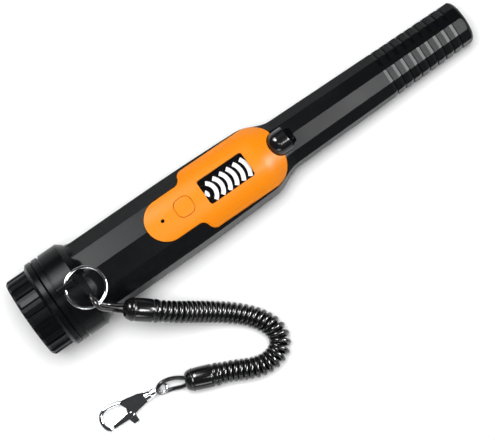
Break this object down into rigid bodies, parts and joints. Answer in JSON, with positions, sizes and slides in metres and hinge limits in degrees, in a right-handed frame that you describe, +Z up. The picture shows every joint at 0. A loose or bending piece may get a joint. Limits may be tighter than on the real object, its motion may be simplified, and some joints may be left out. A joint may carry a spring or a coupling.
{
  "type": "pinpointer probe",
  "caption": "Hand-held metal-detecting pinpointer: faceted probe with ribbed tip, display panel, torch, screw cap and coiled lanyard with snap hook.",
  "frame": {"origin": "on the surface that the probe lies on, under the middle of the probe, the lanyard left out", "axes": "+X towards the sensing tip, +Z up with the face panel on top, +Y to the side away from the lanyard; the probe's own axis leans about 3 degrees tip down, as it lies on its collar and its handle's end"},
  "size_m": [0.2469, 0.1053, 0.0483],
  "materials": {
    "housing_plastic": "fine spark-eroded texture",
    "orange_plastic": "satin moulded",
    "foam": "soft closed-cell foam",
    "seal_rubber": "matte",
    "boot_silicone": "translucent silicone",
    "steel": "zinc plated",
    "switch_metal": "bright",
    "window_clear": "clear acrylic",
    "led_clear": "clear epoxy",
    "display_black": "glossy",
    "inner_plastic": "plain moulded",
    "black_gloss": "glossy",
    "board_green": "solder mask",
    "motor_metal": "drawn can",
    "brass": "plain",
    "battery_case": null,
    "wire_red": "insulation",
    "reflector": "vacuum metallised",
    "ferrite": "sintered",
    "copper": "enamelled wire",
    "chrome": "polished plate",
    "cord_black": "glossy polyurethane"
  },
  "bodies": {
    "housing": {"collar_ring": "housing_plastic", "upper_shell": "housing_plastic", "lower_shell": "housing_plastic", "shell_seal": "seal_rubber", "case_screws": "steel", "face_panel": "orange_plastic", "panel_gasket": "foam", "display_window": "window_clear", "display_module": "display_black", "display_frame": "inner_plastic", "button_boot": "boot_silicone", "tact_switch": "switch_metal", "light_pipe": "window_clear", "status_led": "led_clear", "main_board": "board_green", "board_bracket": "inner_plastic", "board_screws": "steel", "buzzer": "black_gloss", "vibration_motor": "motor_metal", "motor_bracket": "inner_plastic", "battery": "battery_case", "battery_snap": "black_gloss", "battery_leads": "wire_red", "bulkhead": "inner_plastic", "torch_housing": "black_gloss", "torch_reflector": "reflector", "torch_led": "led_clear", "torch_lens": "window_clear", "ferrite_rod": "ferrite", "coil_bobbin": "inner_plastic", "search_coil": "copper", "coil_spacers": "foam", "coil_leads": "wire_red", "tip_pad": "foam"},
    "cap_seal": {"cap_o_ring": "seal_rubber"},
    "battery_cap": {"battery_cap": "housing_plastic", "cap_pad": "foam"},
    "power_button": {"power_button": "orange_plastic"},
    "split_ring": {"split_ring": "chrome"},
    "lanyard": {"ring_loop_cord": "cord_black", "ring_ferrule": "cord_black", "coil_cord": "cord_black", "hook_ferrule": "cord_black", "hook_loop_cord": "cord_black", "swivel_eye": "chrome"},
    "snap_hook": {"hook_body": "chrome", "gate_rivet": "chrome"},
    "hook_gate": {"hook_gate": "chrome"},
    "motor_weight": {"motor_weight": "brass"}
  },
  "joints": [
    {"name": "cap_travel", "type": "slide", "parent": "housing", "child": "cap_seal", "axis": [-0.9988, 0, 0.0484], "range_m": [0, 0.0102]},
    {"name": "cap_turn", "type": "hinge", "parent": "cap_seal", "child": "battery_cap", "pos_m": [-0.10732, 0, 0.0226], "axis": [-0.9988, 0, 0.0484], "range_deg": [0, 920]},
    {"name": "button_press", "type": "slide", "parent": "housing", "child": "power_button", "axis": [-0.0484, 0, -0.9988], "range_m": [0, 0.0008], "stiffness_N_per_m": 1500, "deforming": ["button_boot"]},
    {"name": "ring_swing", "type": "hinge", "parent": "housing", "child": "split_ring", "pos_m": [-0.09771, 0, 0.04546], "axis": [-0.5467, -0.8366, 0.0348], "range_deg": [0, 80]},
    {"name": "lanyard_swing", "type": "hinge", "parent": "split_ring", "child": "lanyard", "pos_m": [-0.09051, -0.01432, 0.0432], "axis": [-0.9845, 0.0348, 0.1721], "range_deg": [0, 35]},
    {"name": "hook_swivel", "type": "hinge", "parent": "lanyard", "child": "snap_hook", "pos_m": [-0.09457, -0.05915, 0.00295], "axis": [-0.993, 0.1082, -0.0472], "continuous": true},
    {"name": "gate_open", "type": "hinge", "parent": "snap_hook", "child": "hook_gate", "pos_m": [-0.10912, -0.06169, 0.00228], "axis": [0.0469, -0.0051, -0.9989], "range_deg": [0, 22], "stiffness_Nm_per_rad": 0.01, "springref_deg": -17.19},
    {"name": "motor_spin", "type": "hinge", "parent": "housing", "child": "motor_weight", "pos_m": [-0.01172, 0, 0.00995], "axis": [0.9988, 0, -0.0484], "continuous": true}
  ],
  "couplings": [
    {"joint": "cap_turn", "follows": "cap_travel", "rad_per_m": 1570.8}
  ]
}
